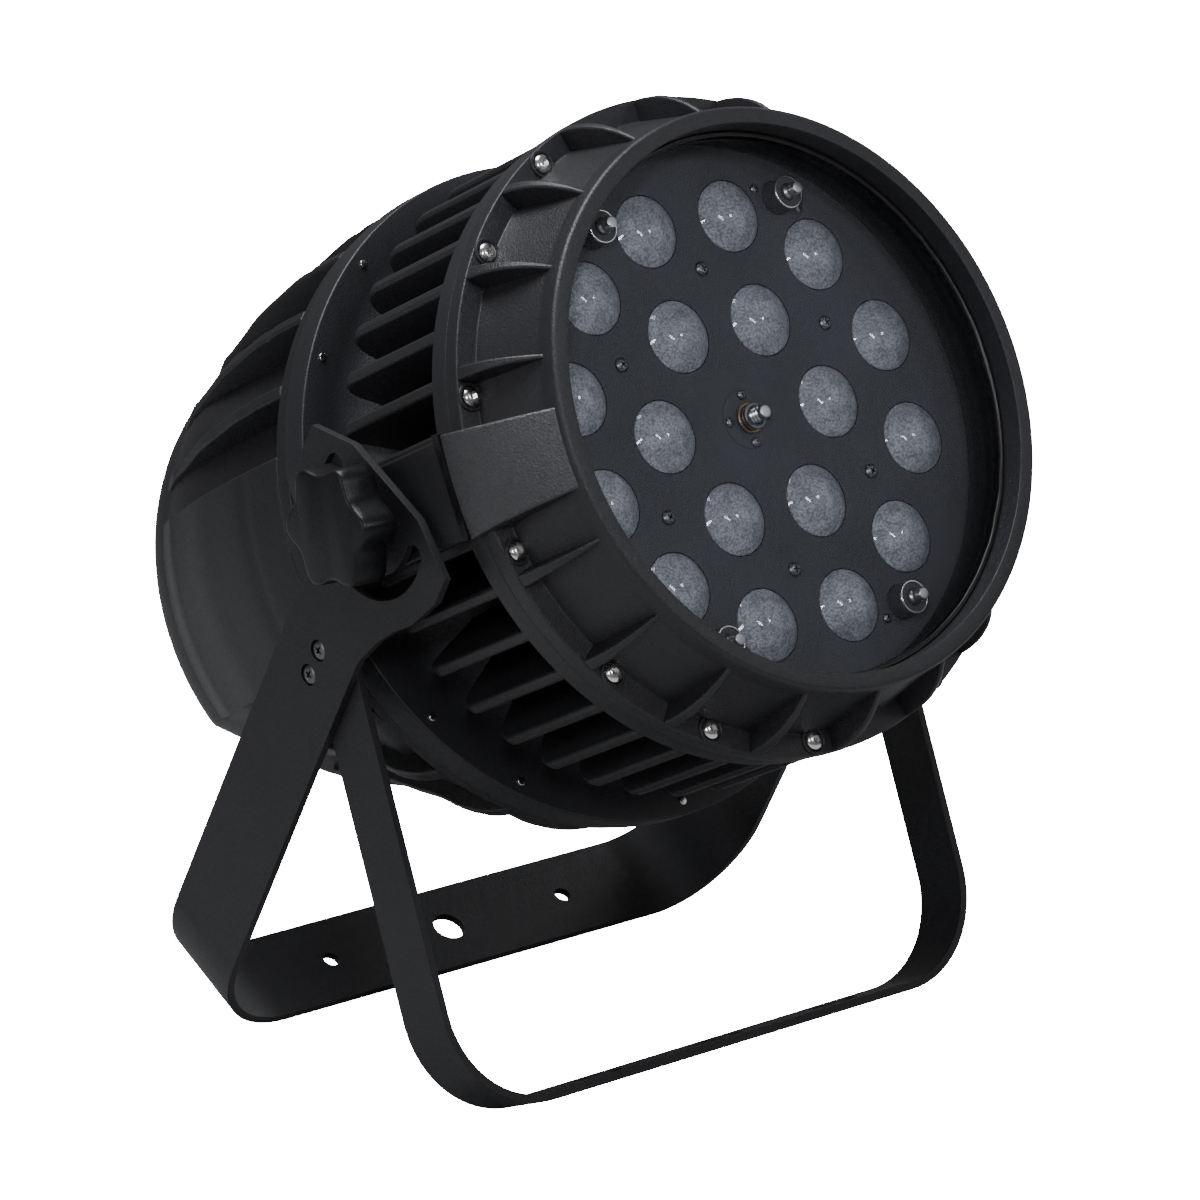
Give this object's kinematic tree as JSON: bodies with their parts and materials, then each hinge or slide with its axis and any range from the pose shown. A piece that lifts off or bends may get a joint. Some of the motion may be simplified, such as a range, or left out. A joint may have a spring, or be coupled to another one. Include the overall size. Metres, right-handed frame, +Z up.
{
  "type": "par can light",
  "caption": "LED zoom par can light: a finned lamp head with a moving lens carrier, tilting in a double yoke floor stand held by two lobed clamp knobs.",
  "frame": {"origin": "on the floor plane under the centre of the bounding box", "axes": "+Z up, X along the tilt axis, the lamp looks towards -Y and is tilted up"},
  "size_m": [0.3994, 0.4482, 0.4656],
  "materials": {
    "black_cast": "black powder coat on cast aluminium",
    "black_plate": "satin black powder coat",
    "clear_glass": "clear polished",
    "black_rubber": "matt black",
    "board_white": "white solder mask",
    "board_green": "green solder mask",
    "bright_steel": "bright",
    "dark_steel": "blackened",
    "motor_dark": "satin black",
    "sheet_metal": "plain sheet",
    "dark_screen": "gloss",
    "socket_black": "satin black",
    "button_grey": "satin",
    "plate_grey": "dark anodised",
    "bronze": "satin",
    "clear_lens": "frosted clear",
    "knob_black": "satin black"
  },
  "bodies": {
    "stand": {"rear_yoke": "black_plate", "front_yoke": "black_plate", "yoke_screw_1": "dark_steel", "yoke_screw_2": "dark_steel", "yoke_screw_3": "dark_steel", "yoke_screw_4": "dark_steel"},
    "head": {"front_bezel": "black_cast", "front_glass": "clear_glass", "glass_gasket": "black_rubber", "bezel_gasket": "black_rubber", "heat_sink": "black_cast", "rear_gasket": "black_rubber", "rear_housing": "black_cast", "rear_cap": "black_cast", "led_board": "board_white", "guide_rod_1": "bright_steel", "guide_rod_2": "bright_steel", "guide_rod_3": "bright_steel", "guide_rod_4": "bright_steel", "stepper_motor": "motor_dark", "chassis_tray": "sheet_metal", "power_supply": "sheet_metal", "driver_board": "board_green", "rear_panel": "black_plate", "display_window": "dark_screen", "power_in_socket": "socket_black", "power_out_socket": "socket_black", "signal_in_socket": "socket_black", "signal_out_socket": "socket_black", "vent_valve": "socket_black", "safety_eye": "bright_steel"},
    "lens_carrier": {"lens_plate": "plate_grey", "lead_nut": "bronze", "lens_01": "clear_lens", "lens_02": "clear_lens", "lens_03": "clear_lens", "lens_04": "clear_lens", "lens_05": "clear_lens", "lens_06": "clear_lens", "lens_07": "clear_lens", "lens_08": "clear_lens", "lens_09": "clear_lens", "lens_10": "clear_lens", "lens_11": "clear_lens", "lens_12": "clear_lens", "lens_13": "clear_lens", "lens_14": "clear_lens", "lens_15": "clear_lens", "lens_16": "clear_lens", "lens_17": "clear_lens", "lens_18": "clear_lens"},
    "lead_screw": {"lead_screw": "bright_steel"},
    "left_knob": {"knob_left": "knob_black", "knob_stud_left": "bright_steel"},
    "right_knob": {"knob_right": "knob_black", "knob_stud_right": "bright_steel"},
    "button_1": {"button_1": "button_grey"},
    "button_2": {"button_2": "button_grey"},
    "button_3": {"button_3": "button_grey"},
    "button_4": {"button_4": "button_grey"}
  },
  "joints": [
    {"name": "head_tilt", "type": "hinge", "parent": "stand", "child": "head", "pos_m": [0, -0.06132, 0.2918], "axis": [-1, 0, 0], "range_deg": [-70, 44]},
    {"name": "zoom_slide", "type": "slide", "parent": "head", "child": "lens_carrier", "axis": [0, -0.9018, 0.4321], "range_m": [-0.018, 0.007]},
    {"name": "lead_screw_spin", "type": "hinge", "parent": "head", "child": "lead_screw", "pos_m": [0, -0.11629, 0.31592], "axis": [0, -0.9018, 0.4321], "range_deg": [-670, 270]},
    {"name": "left_knob_turn", "type": "hinge", "parent": "head", "child": "left_knob", "pos_m": [-0.19, -0.06132, 0.2918], "axis": [-1, 0, 0], "continuous": true},
    {"name": "right_knob_turn", "type": "hinge", "parent": "head", "child": "right_knob", "pos_m": [0.19, -0.06132, 0.2918], "axis": [1, 0, 0], "continuous": true},
    {"name": "button_1_press", "type": "slide", "parent": "head", "child": "button_1", "axis": [0, -0.9018, 0.4321], "range_m": [0, 0.0012], "stiffness_N_per_m": 400, "springref_m": -0.0015},
    {"name": "button_2_press", "type": "slide", "parent": "head", "child": "button_2", "axis": [0, -0.9018, 0.4321], "range_m": [0, 0.0012], "stiffness_N_per_m": 400, "springref_m": -0.0015},
    {"name": "button_3_press", "type": "slide", "parent": "head", "child": "button_3", "axis": [0, -0.9018, 0.4321], "range_m": [0, 0.0012], "stiffness_N_per_m": 400, "springref_m": -0.0015},
    {"name": "button_4_press", "type": "slide", "parent": "head", "child": "button_4", "axis": [0, -0.9018, 0.4321], "range_m": [0, 0.0012], "stiffness_N_per_m": 400, "springref_m": -0.0015}
  ],
  "couplings": [
    {"joint": "lead_screw_spin", "follows": "zoom_slide", "rad_per_m": 628.32}
  ]
}
